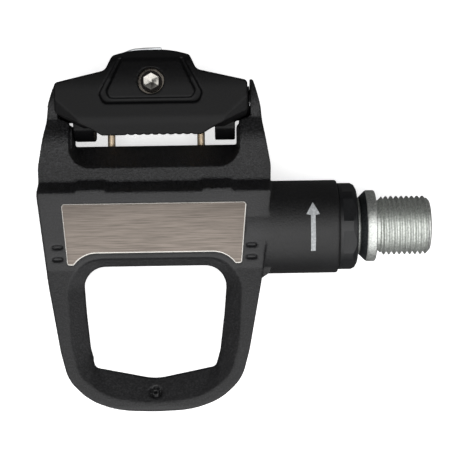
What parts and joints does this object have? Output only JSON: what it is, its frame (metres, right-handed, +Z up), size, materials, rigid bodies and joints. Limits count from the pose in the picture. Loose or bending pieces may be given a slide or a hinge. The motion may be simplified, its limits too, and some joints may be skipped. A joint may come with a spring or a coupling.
{
  "type": "clipless bicycle pedal",
  "caption": "Right-hand clipless road pedal: composite body with a front hook and window, sprung rear jaw, steel wear plate, and a bearing axle with a crank thread.",
  "frame": {"origin": "centre of the axle at the flange face that seats on the crank arm", "axes": "+X along the axle towards the crank, +Y from the axle to the sprung rear jaw, +Z up out of the platform towards the shoe"},
  "size_m": [0.0941, 0.0852, 0.0285],
  "materials": {
    "body_composite": "moulded glass-filled nylon, fine spark-eroded texture",
    "jaw_composite": "moulded glass-filled nylon, smooth satin",
    "stainless_plate": "brushed stainless steel",
    "axle_steel": "zinc-plated chrome-molybdenum steel",
    "bearing_steel": "ground and polished bearing steel",
    "cage_plastic": "moulded natural nylon",
    "black_nut": "moulded black acetal",
    "seal_rubber": "moulded nitrile rubber",
    "spacer_aluminium": "turned aluminium",
    "spring_steel": "drawn spring steel",
    "screw_steel": "black-oxide steel",
    "insert_steel": "turned steel",
    "badge_metal": "satin anodised aluminium"
  },
  "bodies": {
    "axle": {"axle": "axle_steel", "inner_race_outboard": "bearing_steel", "inner_race_inboard": "bearing_steel", "locknut_washer": "axle_steel", "axle_locknut": "axle_steel"},
    "pedal_body": {"pedal_body": "body_composite", "wear_plate": "stainless_plate", "axle_retaining_nut": "black_nut", "nut_seal_ring": "seal_rubber", "lip_seal": "seal_rubber", "needle_shell": "bearing_steel", "bearing_spacer": "spacer_aluminium", "outer_race_outboard": "bearing_steel", "outer_race_inboard": "bearing_steel", "jaw_pin": "axle_steel", "spring_bush_left": "cage_plastic", "spring_bush_right": "cage_plastic", "torsion_spring": "spring_steel"},
    "needle_train": {"needle_cage": "cage_plastic", "needle_rollers": "bearing_steel"},
    "ball_train_outboard": {"ball_cage_outboard": "cage_plastic", "balls_outboard": "bearing_steel"},
    "ball_train_inboard": {"ball_cage_inboard": "cage_plastic", "balls_inboard": "bearing_steel"},
    "rear_jaw": {"rear_jaw": "jaw_composite", "rear_badge": "badge_metal", "thread_insert": "insert_steel"},
    "tension_plate": {"tension_plate": "axle_steel"},
    "tension_screw": {"tension_screw": "screw_steel"}
  },
  "joints": [
    {"name": "pedal_spin", "type": "hinge", "parent": "axle", "child": "pedal_body", "pos_m": [-0.053, 0, 0], "axis": [1, 0, 0], "continuous": true},
    {"name": "needle_train_spin", "type": "hinge", "parent": "axle", "child": "needle_train", "pos_m": [-0.028, 0, 0], "axis": [1, 0, 0], "continuous": true},
    {"name": "ball_train_outboard_spin", "type": "hinge", "parent": "axle", "child": "ball_train_outboard", "pos_m": [-0.069, 0, 0], "axis": [1, 0, 0], "continuous": true},
    {"name": "ball_train_inboard_spin", "type": "hinge", "parent": "axle", "child": "ball_train_inboard", "pos_m": [-0.064, 0, 0], "axis": [1, 0, 0], "continuous": true},
    {"name": "jaw_pivot", "type": "hinge", "parent": "pedal_body", "child": "rear_jaw", "pos_m": [-0.053, 0.0304, -0.0015], "axis": [-1, 0, 0], "range_deg": [0, 18], "stiffness_Nm_per_rad": 0.6, "springref_deg": -2.86, "deforming": ["torsion_spring"]},
    {"name": "plate_slide", "type": "slide", "parent": "rear_jaw", "child": "tension_plate", "axis": [0, 0, -1], "range_m": [0, 0.0024]},
    {"name": "screw_turn", "type": "hinge", "parent": "tension_plate", "child": "tension_screw", "pos_m": [-0.053, 0.03445, 0.01], "axis": [0, 0, -1], "range_deg": [0, 1080]}
  ],
  "couplings": [
    {"joint": "needle_train_spin", "follows": "pedal_spin", "ratio": 0.56288},
    {"joint": "ball_train_outboard_spin", "follows": "pedal_spin", "ratio": 0.61143},
    {"joint": "ball_train_inboard_spin", "follows": "pedal_spin", "ratio": 0.61143},
    {"joint": "screw_turn", "follows": "plate_slide", "rad_per_m": 7853.9}
  ]
}
